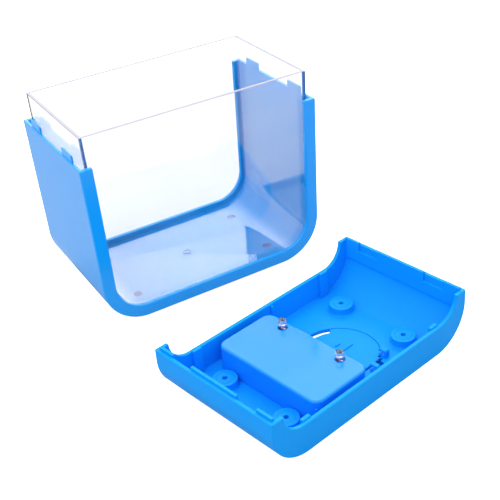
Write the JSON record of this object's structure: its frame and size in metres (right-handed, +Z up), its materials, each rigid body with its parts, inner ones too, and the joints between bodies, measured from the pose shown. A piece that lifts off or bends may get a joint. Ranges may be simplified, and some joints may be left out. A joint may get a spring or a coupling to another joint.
{
  "type": "desktop aquarium with lift-off lid",
  "caption": "Small clear fish tank in a U-shaped blue cradle, with its lid upside down beside it, carrying a feeding door, lamps and a battery box.",
  "frame": {"origin": "middle of the whole layout's footprint, on the table that the feet and the lid stand on", "axes": "+Z up; +X along the cradle's width; +Y from the lid towards the tank; the lid is turned 12.3 degrees about +Z"},
  "size_m": [0.1654, 0.2468, 0.1247],
  "materials": {
    "blue_plastic": "smooth moulded, opaque azure blue",
    "blue_gloss": "polished, opaque azure blue",
    "clear_plastic": "polished, water-clear",
    "rubber": "matt",
    "lens": "polished, water-clear",
    "board": "satin",
    "ceramic": "satin",
    "cell_skin": "printed film, plain",
    "steel": "plated",
    "black_plastic": "moulded",
    "red_wire": "extruded",
    "black_wire": "extruded"
  },
  "bodies": {
    "cradle": {"cradle": "blue_plastic", "foot_front_left": "rubber", "foot_front_right": "rubber", "foot_back_left": "rubber", "foot_back_right": "rubber"},
    "tank": {"clear_tank": "clear_plastic"},
    "lid": {"lid_shell": "blue_plastic", "light_box_cover": "blue_gloss", "lamp_far": "lens", "lamp_near": "lens", "lamp_board": "board", "board_resistor": "ceramic", "switch_body": "black_plastic", "battery_cell_1": "cell_skin", "battery_cell_2": "cell_skin", "battery_cell_3": "cell_skin", "contact_positive": "steel", "contact_bridge_near": "steel", "contact_bridge_far": "steel", "contact_negative": "steel", "cover_screw_left": "steel", "cover_screw_right": "steel", "wire_cells_to_switch": "red_wire", "wire_switch_to_board": "red_wire", "wire_board_to_cells": "black_wire"},
    "feed_door": {"feed_door": "blue_plastic"},
    "battery_door": {"battery_door": "blue_plastic", "battery_door_screw": "steel"},
    "switch_slider": {"switch_slider": "black_plastic"}
  },
  "joints": [
    {"name": "tank_lift", "type": "slide", "parent": "cradle", "child": "tank", "axis": [0, 0, 1], "range_m": [0, 0.13]},
    {"name": "lid_lift", "type": "slide", "parent": "cradle", "child": "lid", "axis": [0, 0, 1], "range_m": [0, 0.12]},
    {"name": "feed_door_hinge", "type": "hinge", "parent": "lid", "child": "feed_door", "pos_m": [0.01977, -0.08437, 0.00125], "axis": [-0.977, -0.213, 0], "range_deg": [0, 90]},
    {"name": "battery_door_off", "type": "slide", "parent": "lid", "child": "battery_door", "axis": [0, 0, -1], "range_m": [0, 0.025]},
    {"name": "lamp_switch", "type": "slide", "parent": "lid", "child": "switch_slider", "axis": [0.977, 0.213, 0], "range_m": [0, 0.004]}
  ]
}
